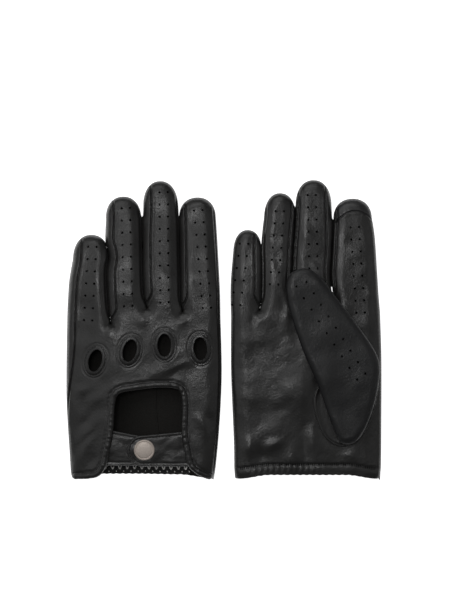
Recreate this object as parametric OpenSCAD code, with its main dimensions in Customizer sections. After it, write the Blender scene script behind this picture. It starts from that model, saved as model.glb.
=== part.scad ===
// A pair of leather driving gloves lying flat: the left-hand glove back up, the right-hand glove palm up.
// +Z is up, the fingers point along +Y, and the origin is under the middle of the pair.

/* [Leather] */
// Thickness of the leather
leather_t = 0.9; // [0.7:0.1:1.1]
// Height of a flat glove, from the outside of its palm to the outside of its back
glove_h = 10.5; // [10:0.5:12]
// Height of the flattened thumb
thumb_h = 6; // [5.5:0.5:7]

/* [Knuckle holes] */
// Width of a knuckle opening
knuckle_w = 9; // [7:0.5:10]
// Length of a knuckle opening along the finger
knuckle_l = 15; // [12:0.5:17]
// Width of the facing sewn round a knuckle opening
facing_w = 4; // [3:0.5:4.5]

/* [Wrist] */
// Width of the rolled binding round the wrist cut-out
binding_w = 3.6; // [3:0.2:4.4]
// Width of the elastic in the palm's hem
elastic_w = 7; // [5:0.5:9]
// Width of the strap and its tab
strap_w = 24; // [20:1:26]
// Length of the strap, from its fold to its rounded end
strap_l = 36; // [34:1:38]
// Length of the tab under the strap's end
tab_l = 35; // [33:1:38]

/* [Snap] */
// Diameter of the snap's cap
cap_d = 15; // [12:0.5:16]
// Diameter of the stud that clicks into the socket
stud_d = 4; // [3:0.5:5]
// Free space round the stud in its socket
stud_clearance = 0.15; // [0.05:0.05:0.2]

/* [Hidden] */
$fn = 48;

LEFT = 0;
RIGHT = 1;
LITTLE = 0;
RING = 1;
MIDDLE = 2;
INDEX = 3;

black = [0.13, 0.13, 0.13];
black_seam = [0.09, 0.09, 0.09];
pewter = [0.62, 0.58, 0.54];
elastic_black = [0.07, 0.07, 0.07];

// Depths are measured from the outside of the palm (0) to the outside of the back (glove_h).
back_in = glove_h - leather_t;
gusset_t = 1.2;
thumb_gap = 0.3;
thumb_top = -gusset_t - thumb_gap;
thumb_bottom = thumb_top - thumb_h;

// The left glove's palm is carried by its folded thumb, and its fingers droop to the surface.
rise = -thumb_bottom;
droop_start = 48;
droop_end = 70;
left_floor = [[-120, rise], [droop_start, rise], [droop_end, 0], [120, 0]];
right_floor = [[-120, 0], [120, 0]];

// Fingers: base centre, tip centre, half width at the tip, and length of the round tip
fingers = [
    [
        [[-97.5, 1], [-95.5, 59], 11.2, 9.2],
        [[-67.6, 2], [-71, 85.5], 12.0, 10.4],
        [[-42, 8], [-45, 96], 12.0, 11.1],
        [[-15.9, 6], [-20, 84.5], 12.0, 11.0]
    ],
    [
        [[14.9, 6], [16, 62], 10.0, 9.8],
        [[38, 10], [39.9, 88], 11.5, 10.6],
        [[65.8, 12], [65.4, 97], 12.2, 10.8],
        [[96.4, 8], [93.6, 83], 13.6, 11.2]
    ]
];
// Points where neighbouring fingers part, from the little finger to the index finger
crotches = [
    [[-80.8, 3.7], [-54.9, 14.5], [-29, 12.7]],
    [[24.7, 15], [51.8, 20], [79.8, 20]]
];
// Depth of the leather at a fork's crotch
fork_web = 2;
// The sides of each hand from the hem to the fingers
little_sides = [
    [[-110, -107.8], [-110.7, -94.5], [-113.5, -47.7], [-113, 4]],
    [[7.7, -107.8], [7.3, -80], [5.3, -30], [5.3, 10]]
];
index_sides = [
    [[-2.9, 10], [-1.9, -31.9], [-3.8, -70.8], [-7.3, -107.8]],
    [[112.3, 12], [113.4, -20], [113.5, -60], [112.7, -107.8]]
];
// Knuckle openings: centre and lean
knuckles = [
    [[-92.2, -22, -16], [-67.4, -14.9, -15], [-42.7, -11, 0], [-16.9, -13.5, 4]],
    [[17, -22, -10], [38.4, -13, -6], [65, -9, 0], [93, -12, 6]]
];
// Middle line of the binding, from the little-finger hem round the cut-out to the index-finger hem
left_edge = [
    [-109, -105.9], [-92.2, -104], [-86.2, -97.4], [-83.6, -86.6], [-80.7, -70.8], [-79.3, -52.1],
    [-75.5, -43.6], [-63.4, -40.5], [-47.9, -38.7], [-35.4, -39.1], [-29.8, -43.5], [-28.4, -55.7],
    [-28.9, -70.8], [-27.4, -83], [-24.6, -95.3], [-18.8, -101.7], [-8.5, -104]
];
wrist_shift = 117.5;
right_edge = [for (p = left_edge) [p.x + wrist_shift, p.y]];
cutout_edges = [left_edge, right_edge];
// Fold line of each strap, its middle height and the snap's place
strap_fold = [-33, -33 + wrist_shift];
strap_y = -85.8;
snap_x = [-57, -57 + wrist_shift];
tab_x = [-85, -85 + wrist_shift];

// Depths below the outside of the back: strap, socket, tab and the snap's parts
strap_t = 1;
strap_depth = 0.6;
socket_t = 0.8;
snap_gap = 0.2;
tab_depth = strap_depth + strap_t + socket_t + snap_gap + 0.3;
flange_t = 0.3;
cap_t = strap_depth;
socket_d = cap_d - 3;
stud_flange_d = cap_d - 5;
stud_bite = 0.35;
rivet_d = 3;
elastic_t = 0.6;
facing_t = 0.7;
binding_lap = 0.4;

// Thumb: outline of the right glove's folded thumb, from its tip down its free edge and back up
right_thumb_points = [
    [58, 42.6], [46.5, 37.5], [46, 20], [55, -10], [67.6, -41.3], [77, -67], [84, -81], [95, -79.5],
    [104, -64], [110, -42], [110.4, -21], [98, 0], [82, 21], [69, 38]
];
thumb_shift = -115.6;
left_thumb_points = [for (p = right_thumb_points) [p.x + thumb_shift, p.y]];
thumb_outlines = [left_thumb_points, right_thumb_points];
thumb_entry = [[94.5 + thumb_shift, -52], [94.5, -52]];
thumb_entry_d = 20;
// The gusset is a teardrop under the thumb's root that shows along its lower edge
right_gusset_points = [
    [80, -30], [69, -38], [64.5, -50], [67, -66], [75, -80], [88, -83.5], [102, -72], [109.5, -50],
    [110, -34], [98, -26]
];
left_gusset_points = [for (p = right_gusset_points) [p.x + thumb_shift, p.y]];
gusset_outlines = [left_gusset_points, right_gusset_points];

// Size of the plain shapes that only cut others
cutter = 100;

// The touch tip starts above an arc across the index finger's pad, and no lower than tip_start over its centre
touch_arc_centre = [[-19.6, 58], [94, 61]];
touch_arc_r = 21;
tip_start = 10;

// ---- Shapes ----

function unit(v) = v / norm(v);
function left_of(v) = [-v.y, v.x];

// Point at u along the curve through b and c
function curve_point(a, b, c, d, u) =
    0.5 * (2 * b + (c - a) * u + (2 * a - 5 * b + 4 * c - d) * u * u + (3 * b - a - 3 * c + d) * u * u * u);

// Smooth closed outline through the points
function smooth(points, steps = 4) = [
    for (i = [0 : len(points) - 1], k = [0 : steps - 1])
        curve_point(
            points[(i + len(points) - 1) % len(points)], points[i], points[(i + 1) % len(points)],
            points[(i + 2) % len(points)], k / steps
        )
];

// Points of a line moved sideways, to the left where side is positive
function beside(points, side) = [
    for (i = [0 : len(points) - 1])
        points[i] + side * left_of(unit(points[min(i + 1, len(points) - 1)] - points[max(i - 1, 0)]))
];

function reversed(points) = [for (i = [len(points) - 1 : -1 : 0]) points[i]];

function ellipse(half_w, half_l) = [for (a = [0 : 15 : 345]) [half_w * cos(a), half_l * sin(a)]];

// Round tip of a finger between two angles, from 0 on its little-finger side to 180, drawn in by inset
function tip_arc(f, from, to, inset = 0) =
    let (along = unit(f[1] - f[0]), across = left_of(along))
    [
        for (a = [from : 15 : to])
            f[1] + across * cos(a) * (f[2] - inset) + along * sin(a) * (f[3] - inset)
    ];

// The two outer sides of a glove from the hem to the middle of the outer fingers' tips
function little_line(g, inset) =
    concat([for (p = little_sides[g]) [p.x + inset, p.y]], tip_arc(fingers[g][LITTLE], 0, 90, inset));
function index_line(g, inset) =
    concat(tip_arc(fingers[g][INDEX], 90, 180, inset), [for (p = index_sides[g]) [p.x - inset, p.y]]);

module glove_2d(g) {
    polygon(concat(
        little_sides[g],
        tip_arc(fingers[g][LITTLE], 0, 180), [crotches[g][LITTLE]],
        tip_arc(fingers[g][RING], 0, 180), [crotches[g][RING]],
        tip_arc(fingers[g][MIDDLE], 0, 180), [crotches[g][MIDDLE]],
        tip_arc(fingers[g][INDEX], 0, 180),
        index_sides[g]
    ));
}

module binding_2d(g) {
    edge = cutout_edges[g];
    polygon(concat(beside(edge, binding_w / 2), reversed(beside(edge, -binding_w / 2))));
}

// Everything on the wrist side of the binding's middle line
module wrist_opening_2d(g) {
    edge = cutout_edges[g];
    past = 9;
    first = edge[0];
    last = edge[len(edge) - 1];
    polygon(concat(
        [first + [-past, -past], first + [-past, 0]], edge,
        [last + [past, 0], last + [past, -past]]
    ));
}

module at_knuckles(g) {
    for (k = knuckles[g]) translate([k.x, k.y]) rotate(k.z) children();
}

module knuckle_2d(grow = 0) {
    polygon(ellipse(knuckle_w / 2 + grow, knuckle_l / 2 + grow));
}

module touch_arc_2d(g) {
    translate(touch_arc_centre[g]) circle(touch_arc_r, $fn = 96);
}

// Space between two depths that follows the glove's floor line
module band(g, low, high) {
    floor_line = g == LEFT ? left_floor : right_floor;
    rotate([90, 0, 90]) linear_extrude(260, center = true)
        polygon(concat([for (p = floor_line) [p.x, p.y + low]],
            reversed([for (p = floor_line) [p.x, p.y + high]])));
}

// A piece that follows the glove's floor line: its outline is cut from the space between two depths
module sheet(g, low, high) {
    intersection() {
        translate([0, 0, -5]) linear_extrude(40) children();
        band(g, low, high);
    }
}

// The right glove is built like the left and turned over, so that its palm is on top
module turned(g) {
    if (g == LEFT) children();
    else translate([0, 0, glove_h]) mirror([0, 0, 1]) children();
}

// ---- Leather ----

module back_panel(g) {
    turned(g) sheet(g, back_in, glove_h) difference() {
        glove_2d(g);
        wrist_opening_2d(g);
        binding_2d(g);
        at_knuckles(g) knuckle_2d();
    }
}

// The part of the index finger's outline that the touch tip takes from the palm panel
module touch_tip_2d(g) {
    difference() {
        polygon(concat([crotches[g][MIDDLE]], tip_arc(fingers[g][INDEX], 0, 180), [index_sides[g][0]]));
        touch_arc_2d(g);
        translate(touch_arc_centre[g] + [-cutter / 2, tip_start - cutter]) square(cutter);
    }
}

// The outer walls, where the palm's leather turns up round the little finger's and the index finger's side
module side_walls_2d(g) {
    polygon(concat(little_line(g, 0), reversed(little_line(g, leather_t))));
    polygon(concat(index_line(g, 0), reversed(index_line(g, leather_t))));
}

module palm_panel(g) {
    turned(g) {
        sheet(g, 0, leather_t) difference() {
            glove_2d(g);
            touch_tip_2d(g);
            translate(thumb_entry[g]) circle(d = thumb_entry_d);
        }
        sheet(g, leather_t, back_in) side_walls_2d(g);
    }
}

module touch_tip(g) {
    turned(g) sheet(g, 0, leather_t) touch_tip_2d(g);
}

// A fork is the strip between two fingers: down one finger's side, round the crotch and up the next
module fork(g, i) {
    a = fingers[g][i];
    b = fingers[g][i + 1];
    crotch = crotches[g][i];
    turned(g) sheet(g, leather_t, back_in) polygon(concat(
        tip_arc(a, 90, 180), [crotch], tip_arc(b, 0, 90),
        reversed(tip_arc(b, 0, 90, leather_t)),
        [crotch + [leather_t, -fork_web], crotch + [-leather_t, -fork_web]],
        reversed(tip_arc(a, 90, 180, leather_t))
    ));
}

module knuckle_facings(g) {
    turned(g) sheet(g, back_in - facing_t, back_in) at_knuckles(g) difference() {
        knuckle_2d(facing_w);
        knuckle_2d();
    }
}

module cutout_binding(g) {
    turned(g) sheet(g, back_in - binding_lap, glove_h) binding_2d(g);
}

module thumb_gusset(g) {
    turned(g) sheet(g, -gusset_t, 0) difference() {
        polygon(smooth(gusset_outlines[g]));
        translate(thumb_entry[g]) circle(d = thumb_entry_d);
    }
}

// A hollow leather thumb that the hand's thumb enters through a round opening in its underside
module thumb(g) {
    points = thumb_outlines[g];
    centre = [for (k = [0, 1]) (points[3][k] + points[10][k]) / 2];
    inner = [for (p = smooth(points)) p - leather_t * unit(p - centre)];
    turned(g) translate([0, 0, g == LEFT ? rise + thumb_bottom : thumb_bottom]) difference() {
        linear_extrude(thumb_h) polygon(smooth(points));
        translate([0, 0, leather_t]) linear_extrude(thumb_h - 2 * leather_t) polygon(inner);
        translate([thumb_entry[g].x, thumb_entry[g].y, thumb_h / 2]) cylinder(thumb_h, d = thumb_entry_d);
    }
}

module wrist_elastic(g) {
    start = cutout_edges[g][2].x + 1;
    finish = cutout_edges[g][14].x - 1;
    turned(g) sheet(g, leather_t, leather_t + elastic_t)
        translate([start, -105]) square([finish - start, elastic_w]);
}

// ---- Strap and snap ----

// Height of a depth below the outside of the back, at the wrist
function below_back(g, depth) = (g == LEFT ? rise : 0) + glove_h - depth;

module strap(g) {
    length = strap_l - strap_w / 2;
    turned(g) translate([strap_fold[g], strap_y, below_back(g, strap_depth + strap_t)]) difference() {
        union() {
            translate([-length, -strap_w / 2, 0]) cube([length, strap_w, strap_t]);
            translate([-length, 0, 0]) cylinder(strap_t, d = strap_w);
        }
        translate([snap_x[g] - strap_fold[g], 0, -1]) cylinder(strap_t + 2, d = rivet_d);
    }
}

module snap_cap(g) {
    turned(g) translate([snap_x[g], strap_y, below_back(g, strap_depth)]) {
        cylinder(cap_t, d = cap_d);
        translate([0, 0, -strap_t]) cylinder(strap_t, d = rivet_d);
    }
}

module snap_socket(g) {
    turned(g) translate([snap_x[g], strap_y, below_back(g, strap_depth + strap_t + socket_t)]) difference() {
        cylinder(socket_t, d = socket_d);
        translate([0, 0, -1]) cylinder(socket_t - flange_t + 1, d = stud_d + 2 * stud_clearance);
    }
}

module snap_stud(g) {
    reach = flange_t + snap_gap + stud_bite;
    turned(g) translate([snap_x[g], strap_y, below_back(g, tab_depth)]) {
        cylinder(flange_t, d = stud_flange_d);
        cylinder(reach, d = stud_d);
    }
}

module strap_tab(g) {
    turned(g) translate([tab_x[g], strap_y, below_back(g, tab_depth + strap_t)]) difference() {
        translate([0, -strap_w / 2, 0]) cube([tab_l, strap_w, strap_t]);
        translate([snap_x[g] - tab_x[g], 0, -1]) cylinder(strap_t + 2, d = rivet_d);
    }
}

module snap_post(g) {
    turned(g) translate([snap_x[g], strap_y, below_back(g, tab_depth + strap_t + flange_t)]) {
        cylinder(flange_t, d = stud_flange_d);
        cylinder(flange_t + strap_t, d = rivet_d);
    }
}

// ---- Nodes ----

module left_back_panel() { color(black) back_panel(LEFT); }
module left_palm_panel() { color(black) palm_panel(LEFT); }
module left_fork_little_ring() { color(black_seam) fork(LEFT, LITTLE); }
module left_fork_ring_middle() { color(black_seam) fork(LEFT, RING); }
module left_fork_middle_index() { color(black_seam) fork(LEFT, MIDDLE); }
module left_touch_tip() { color(black_seam) touch_tip(LEFT); }
module left_knuckle_facings() { color(black_seam) knuckle_facings(LEFT); }
module left_cutout_binding() { color(black_seam) cutout_binding(LEFT); }
module left_wrist_elastic() { color(elastic_black) wrist_elastic(LEFT); }
module left_thumb_gusset() { color(black_seam) thumb_gusset(LEFT); }
module left_thumb() { color(black) thumb(LEFT); }
module left_strap_tab() { color(black) strap_tab(LEFT); }
module left_snap_stud() { color(pewter) snap_stud(LEFT); }
module left_snap_post() { color(pewter) snap_post(LEFT); }
module left_strap() { color(black) strap(LEFT); }
module left_snap_cap() { color(pewter) snap_cap(LEFT); }
module left_snap_socket() { color(pewter) snap_socket(LEFT); }
module right_back_panel() { color(black) back_panel(RIGHT); }
module right_palm_panel() { color(black) palm_panel(RIGHT); }
module right_fork_little_ring() { color(black_seam) fork(RIGHT, LITTLE); }
module right_fork_ring_middle() { color(black_seam) fork(RIGHT, RING); }
module right_fork_middle_index() { color(black_seam) fork(RIGHT, MIDDLE); }
module right_touch_tip() { color(black_seam) touch_tip(RIGHT); }
module right_knuckle_facings() { color(black_seam) knuckle_facings(RIGHT); }
module right_cutout_binding() { color(black_seam) cutout_binding(RIGHT); }
module right_wrist_elastic() { color(elastic_black) wrist_elastic(RIGHT); }
module right_thumb_gusset() { color(black_seam) thumb_gusset(RIGHT); }
module right_thumb() { color(black) thumb(RIGHT); }
module right_strap_tab() { color(black) strap_tab(RIGHT); }
module right_snap_stud() { color(pewter) snap_stud(RIGHT); }
module right_snap_post() { color(pewter) snap_post(RIGHT); }
module right_strap() { color(black) strap(RIGHT); }
module right_snap_cap() { color(pewter) snap_cap(RIGHT); }
module right_snap_socket() { color(pewter) snap_socket(RIGHT); }

left_back_panel();
left_palm_panel();
left_fork_little_ring();
left_fork_ring_middle();
left_fork_middle_index();
left_touch_tip();
left_knuckle_facings();
left_cutout_binding();
left_wrist_elastic();
left_thumb_gusset();
left_thumb();
left_strap_tab();
left_snap_stud();
left_snap_post();
left_strap();
left_snap_cap();
left_snap_socket();
right_back_panel();
right_palm_panel();
right_fork_little_ring();
right_fork_ring_middle();
right_fork_middle_index();
right_touch_tip();
right_knuckle_facings();
right_cutout_binding();
right_wrist_elastic();
right_thumb_gusset();
right_thumb();
right_strap_tab();
right_snap_stud();
right_snap_post();
right_strap();
right_snap_cap();
right_snap_socket();
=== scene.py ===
"""The looks of a pair of black leather driving gloves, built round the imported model.

Lengths in this script are millimetres until a mesh is made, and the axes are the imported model's own.
"""
import math

import bmesh
import bpy
import numpy as np
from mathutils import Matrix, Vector, geometry, kdtree, noise


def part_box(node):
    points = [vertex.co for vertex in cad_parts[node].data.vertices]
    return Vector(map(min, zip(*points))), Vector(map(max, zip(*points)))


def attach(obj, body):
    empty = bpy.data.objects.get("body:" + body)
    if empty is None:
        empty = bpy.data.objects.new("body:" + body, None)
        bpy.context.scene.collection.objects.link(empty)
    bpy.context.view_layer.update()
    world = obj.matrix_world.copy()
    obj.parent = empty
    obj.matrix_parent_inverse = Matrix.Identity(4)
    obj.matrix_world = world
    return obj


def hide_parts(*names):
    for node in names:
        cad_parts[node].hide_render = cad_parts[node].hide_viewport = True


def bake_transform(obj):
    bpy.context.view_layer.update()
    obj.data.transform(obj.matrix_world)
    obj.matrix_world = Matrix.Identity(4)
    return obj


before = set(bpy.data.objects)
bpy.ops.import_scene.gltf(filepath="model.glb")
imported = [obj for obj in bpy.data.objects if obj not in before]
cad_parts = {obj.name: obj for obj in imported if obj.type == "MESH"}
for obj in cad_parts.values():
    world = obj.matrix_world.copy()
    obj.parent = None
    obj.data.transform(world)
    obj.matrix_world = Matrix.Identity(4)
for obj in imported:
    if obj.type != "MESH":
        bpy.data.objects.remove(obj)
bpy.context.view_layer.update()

MM = 0.001
LEFT, RIGHT = "left", "right"
LITTLE, RING, MIDDLE, INDEX = range(4)
FORKS = ("fork_little_ring", "fork_ring_middle", "fork_middle_index")


def moved(points, shift):
    """The same points for the other glove, which lies beside the first."""
    return [(x + shift, y) for x, y in points]


# ---------------------------------------------------------------- sizes of the gloves, in millimetres

# Each finger: middle of its base, middle of its round tip, half width there, length of the round tip
FINGERS = {
    LEFT: [
        ((-97.5, 1), (-95.9, 50.8), 12.9, 17.4),
        ((-67.6, 2), (-72.5, 80), 12.5, 15.8),
        ((-42, 8), (-45.7, 88), 12.4, 19),
        ((-15.9, 6), (-19.2, 81), 12.9, 14.2),
    ],
    RIGHT: [
        ((14.9, 6), (16.8, 56.3), 9.9, 15.4),
        ((38, 10), (40.2, 80.5), 11.2, 17.8),
        ((65.8, 12), (64.6, 89.3), 12.7, 18.4),
        ((96.4, 8), (92.8, 80), 13.6, 14.3),
    ],
}
# The lines where neighbouring fingers lie against each other, from the crotch upwards
WEBS = {
    LEFT: [
        [(-81.2, 4.2), (-82.7, 12.9), (-83.9, 28), (-84.2, 43.2)],
        [(-55.4, 15.6), (-57.5, 24.2), (-58.3, 35.6), (-58.7, 50.8), (-59, 65.9)],
        [(-29.6, 13.2), (-31, 20.4), (-31.4, 35.6), (-31.8, 50.8), (-32, 65.9)],
    ],
    RIGHT: [
        [(25.6, 14), (27, 23.2), (27.4, 37.9), (27.3, 48.9)],
        [(51.2, 20), (49.2, 32), (49.1, 45.3), (49.8, 60), (50.7, 72)],
        [(79, 20), (77, 37.9), (77.7, 52.6), (78.4, 66)],
    ],
}
WEB_GAP = 0.22
# Where those lines go on to the points at which the fingers part near their tips
NOTCHES = {
    LEFT: [[(-82.9, 50.8), (-83.5, 56.2), (-84.9, 60.4), (-86, 63)], [(-59.4, 83)], [(-32.6, 83)]],
    RIGHT: [[(26.8, 62.5)], [(51.4, 90)], [(79, 81)]],
}
# What the ring finger's side does above the little finger's tip, and the two outermost sides of the fingers
RING_LOW = {LEFT: [(-82.7, 50.8), (-83.2, 56.2), (-84.5, 60.4), (-85.5, 66)], RIGHT: [(27.2, 60), (27.6, 69)]}
LITTLE_LOW = {LEFT: [(-112.6, 16.6), (-111.4, 35.6)], RIGHT: [(4.9, 23.2), (5.3, 37.9)]}
INDEX_HIGH = {LEFT: [(-3.1, 24), (-3.8, 39.4), (-5.3, 67)], RIGHT: [(111.2, 26), (110.3, 40), (108.6, 66)]}
HEM = -107.4
# The outer sides from the hem to the fingers, on the little finger's side and on the index finger's
LITTLE_SIDE = {
    LEFT: [(-109, HEM), (-110.2, -104.6), (-110.8, -94.5), (-113.4, -47.7), (-113, 4)],
    RIGHT: [(8.9, HEM), (7.7, -104.8), (7.3, -80), (5.3, -30), (5.3, 10)],
}
INDEX_SIDE = {
    LEFT: [(-2.9, 10), (-2.0, -31.9), (-3.8, -70.8), (-7, -104.6), (-8.4, HEM)],
    RIGHT: [(112.3, 12), (113.3, -20), (113.3, -60), (112.8, -104.8), (111.5, HEM)],
}
# Knuckle openings: middle and lean in degrees
KNUCKLES = {
    LEFT: [(-92.2, -22, -16), (-67.4, -14.9, -15), (-42.7, -11, 0), (-16.9, -13.5, 4)],
    RIGHT: [(17, -22, -10), (38.4, -13, -6), (65, -9, 0), (93, -12, 6)],
}
KNUCKLE_HALF = (5.3, 8.6)
KNUCKLE_RINGS = (2.1, 3.8)
# How far the right glove's wrist lies from the left one's, and the left thumb from the right one
WRIST_SHIFT = {LEFT: 0, RIGHT: 117.5}
THUMB_SHIFT = {LEFT: -115.6, RIGHT: 0}
# Middle line of the rolled binding, from one hem corner round the cut-out to the other
LEFT_BINDING = [
    (-109, -105.9), (-92.2, -104), (-86.2, -97.4), (-83.6, -86.6), (-80.7, -70.8), (-79.3, -52.1),
    (-75.7, -44.2), (-63.4, -41.4), (-47.9, -39.7), (-35.4, -40.1), (-29.8, -44.2), (-28.4, -55.7),
    (-28.9, -70.8), (-27.4, -83), (-24.6, -95.3), (-18.8, -101.5), (-8.8, -106.3),
]
# The roll's half width, how far it lies to the leather's side of that line, and its seam's distance from it
BINDING_HALF = 2.15
BINDING_SHIFT = 0.5
BINDING_SEAM = 3.05
BINDING = {g: moved(LEFT_BINDING, shift) for g, shift in WRIST_SHIFT.items()}
# The seam on the inside of the palm, from the fingers' side to the wrist
LEFT_SEAM = [(-49.6, -38), (-49.2, -44), (-48.6, -62), (-46.5, -78), (-45, -86)]
INNER_SEAM = {g: moved(LEFT_SEAM, shift) for g, shift in WRIST_SHIFT.items()}
# The folded thumb's outline, from its tip down its free edge and back up
RIGHT_THUMB = [
    (58, 44), (46.2, 38.6), (45.3, 21), (54.6, -10), (67.6, -41.3), (77, -67), (84, -81), (95, -79.5),
    (104, -64), (110, -42), (110.4, -21), (98, 0), (82, 21), (69, 38),
]
THUMB = {g: moved(RIGHT_THUMB, shift) for g, shift in THUMB_SHIFT.items()}
RIGHT_GUSSET = [
    (80, -30), (69, -38), (64.5, -50), (67, -66), (75, -80), (88, -83.5), (102, -72), (109.5, -50),
    (110, -34), (98, -26),
]
GUSSET = {g: moved(RIGHT_GUSSET, shift) for g, shift in THUMB_SHIFT.items()}
# How far the seams beside each finger lie inside its outline: (little finger's side, index finger's side)
MARGINS = {
    "back": [(6.2, 1.3), (6.0, 1.3), (6.0, 1.3), (4.4, 1.3)],
    "palm": [(0, 5.0), (1.5, 3.2), (2.4, 4.4), (2.6, 0)],
}
# Perforations of each finger: rows, distance of the first from the tip, sideways shift, its change per row
HOLES = {
    "back": [(7, 8.6, 1.1, -0.2), (9, 8.5, 2.3, -0.28), (10, 8.2, 2.7, -0.3), (9, 9.4, 0.9, 0.4)],
    "palm": [(6, 10, -2.6, -0.8), (7, 13, -0.3, -0.4), (7, 10.8, -1.4, 0.06), (8, 20.6, 0.9, 0.15)],
}
HOLE_R = 0.85
HOLE_COLUMN = 3.0
HOLE_ROW = 8.8
LEATHER_T = 0.8
HEM_SEAM = 7.6
ZIGZAG = 5.3
SNAP_AT = (-57, -85.8)
STRAP_T = 1.2
# Middle and half sizes of the curved seam below the touch-screen tip
TOUCH_ARC = {LEFT: ((-19.6, 65), (15.6, 20)), RIGHT: ((94.3, 65.3), (16.4, 20))}


# ---------------------------------------------------------------- plane geometry

def unit(v):
    return v / np.linalg.norm(v)


def left_of(v):
    return np.array([-v[1], v[0]])


def smooth_step(u):
    u = np.clip(u, 0, 1)
    return u * u * (3 - 2 * u)


def ridge(off, at, width):
    """A soft line's height, from 0 to 1, at a distance from what it follows."""
    return np.exp(-((off - at) / width) ** 2)


def rounded(depth, round_r):
    """A quarter circle's height, from 0 at the edge to 1 at the depth round_r."""
    u = np.clip(depth / round_r, 0, 1)
    return np.sqrt(np.maximum(1 - (1 - u) ** 2, 0))


def run_of(line):
    """Distance of each point of a line from its first, along the line."""
    return np.concatenate([[0], np.cumsum(np.linalg.norm(np.diff(line, axis=0), axis=1))])


def curve(points, step, closed=False):
    """Even points along the smooth curve through the given ones."""
    p = np.array(points, float)
    n = len(p)
    fine = []
    spans = n if closed else n - 1
    for i in range(spans):
        if closed:
            a, b, c, d = p[i - 1], p[i], p[(i + 1) % n], p[(i + 2) % n]
        else:
            a, b, c, d = p[max(i - 1, 0)], p[i], p[i + 1], p[min(i + 2, n - 1)]
        u = np.linspace(0, 1, 24, endpoint=False)[:, None]
        fine.append(0.5 * (2 * b + (c - a) * u + (2 * a - 5 * b + 4 * c - d) * u**2
                           + (3 * b - a - 3 * c + d) * u**3))
    fine = np.concatenate(fine + [p[:1] if closed else p[-1:]])
    return even(fine, step, closed)


def even(points, step, closed=False):
    """The same line with points an even distance apart; a closed line doesn't repeat its first point."""
    points = np.array(points, float)
    length = run_of(points)
    count = max(2, int(round(length[-1] / step)))
    at = np.linspace(0, length[-1], count + 1)
    made = np.stack([np.interp(at, length, points[:, k]) for k in range(points.shape[1])], 1)
    return made[:-1] if closed else made


def loop_of(points):
    return np.concatenate([points, points[:1]])


def ellipse(middle, half, lean, count, grow=0.0):
    a = np.linspace(0, 2 * math.pi, count, endpoint=False)
    x, y = (half[0] + grow) * np.cos(a), (half[1] + grow) * np.sin(a)
    c, s = math.cos(math.radians(lean)), math.sin(math.radians(lean))
    return np.stack([middle[0] + x * c - y * s, middle[1] + x * s + y * c], 1)


def hole(dot):
    """The outline of a perforation."""
    return ellipse(dot, (HOLE_R, HOLE_R), 0, 10)


def normals_of(line):
    """Left-hand normals of an open line's points."""
    ahead = np.gradient(line, axis=0)
    ahead /= np.linalg.norm(ahead, axis=1)[:, None]
    return np.stack([-ahead[:, 1], ahead[:, 0]], 1)


def distance(points, line):
    """Distance of each point from an open line."""
    a, ab = line[:-1], np.diff(line, axis=0)
    squared = np.maximum((ab**2).sum(1), 1e-12)
    nearest = np.empty(len(points))
    for i in range(0, len(points), 2000):
        pa = points[i:i + 2000, None] - a
        h = np.clip((pa * ab).sum(2) / squared, 0, 1)
        nearest[i:i + 2000] = np.sqrt((((pa - h[..., None] * ab) ** 2).sum(2)).min(1))
    return nearest


def inside(points, polygon):
    """Whether each point is inside a closed polygon."""
    a = np.array(polygon)
    b = np.roll(a, -1, axis=0)
    result = np.zeros(len(points), bool)
    for i in range(0, len(points), 4000):
        x, y = points[i:i + 4000, 0, None], points[i:i + 4000, 1, None]
        crosses = (a[:, 1] > y) != (b[:, 1] > y)
        rise = np.where(b[:, 1] == a[:, 1], 1, b[:, 1] - a[:, 1])
        at = a[:, 0] + (y - a[:, 1]) * (b[:, 0] - a[:, 0]) / rise
        result[i:i + 4000] = (crosses & (x < at)).sum(1) % 2 == 1
    return result


def ripple(points, scale, seed):
    """Soft noise over the plane, about -1 to 1, with features of the given size."""
    return np.array([noise.noise(Vector((x / scale, y / scale, seed))) for x, y in points])


# ---------------------------------------------------------------- outline of a glove

def tip_arc(finger):
    """The round end of a finger, from the little finger's side over its tip."""
    base, tip, half, length = finger
    base, tip = np.array(base, float), np.array(tip, float)
    along = unit(tip - base)
    a = np.radians(np.linspace(0, 180, 41))[:, None]
    sharp = 0.9
    c, s = np.cos(a), np.sin(a)
    return tip + left_of(along) * np.sign(c) * np.abs(c)**sharp * half + along * np.abs(s)**sharp * length


def finger_side(g, i, high, end):
    """The side of a finger from its base to the start of its round tip."""
    shift = -WEB_GAP if high else WEB_GAP
    if not high and i == LITTLE:
        points = [LITTLE_SIDE[g][-1]] + LITTLE_LOW[g]
    elif high and i == INDEX:
        points = [INDEX_SIDE[g][0]] + INDEX_HIGH[g]
    else:
        web = WEBS[g][i if high else i - 1]
        points = [web[0]] + [(x + shift, y) for x, y in web[1:]]
        if not high and i == RING:
            points += RING_LOW[g]
    return curve(points + [tuple(end)], 1)


def outline_parts(g):
    """The glove's outline as named open lines, in order from the little finger's hem corner."""
    parts = [("little_side", curve(LITTLE_SIDE[g], 1))]
    for i in range(4):
        arc = tip_arc(FINGERS[g][i])
        parts.append((f"low{i}", finger_side(g, i, False, arc[0])))
        parts.append((f"tip{i}", arc))
        parts.append((f"high{i}", finger_side(g, i, True, arc[-1])[::-1]))
    parts.append(("index_side", curve(INDEX_SIDE[g], 1)))
    return parts


def walls(g):
    """Everything of the outline but the open hem, as one line."""
    return np.concatenate([p if i == 0 else p[1:] for i, (_, p) in enumerate(outline_parts(g))])


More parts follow.
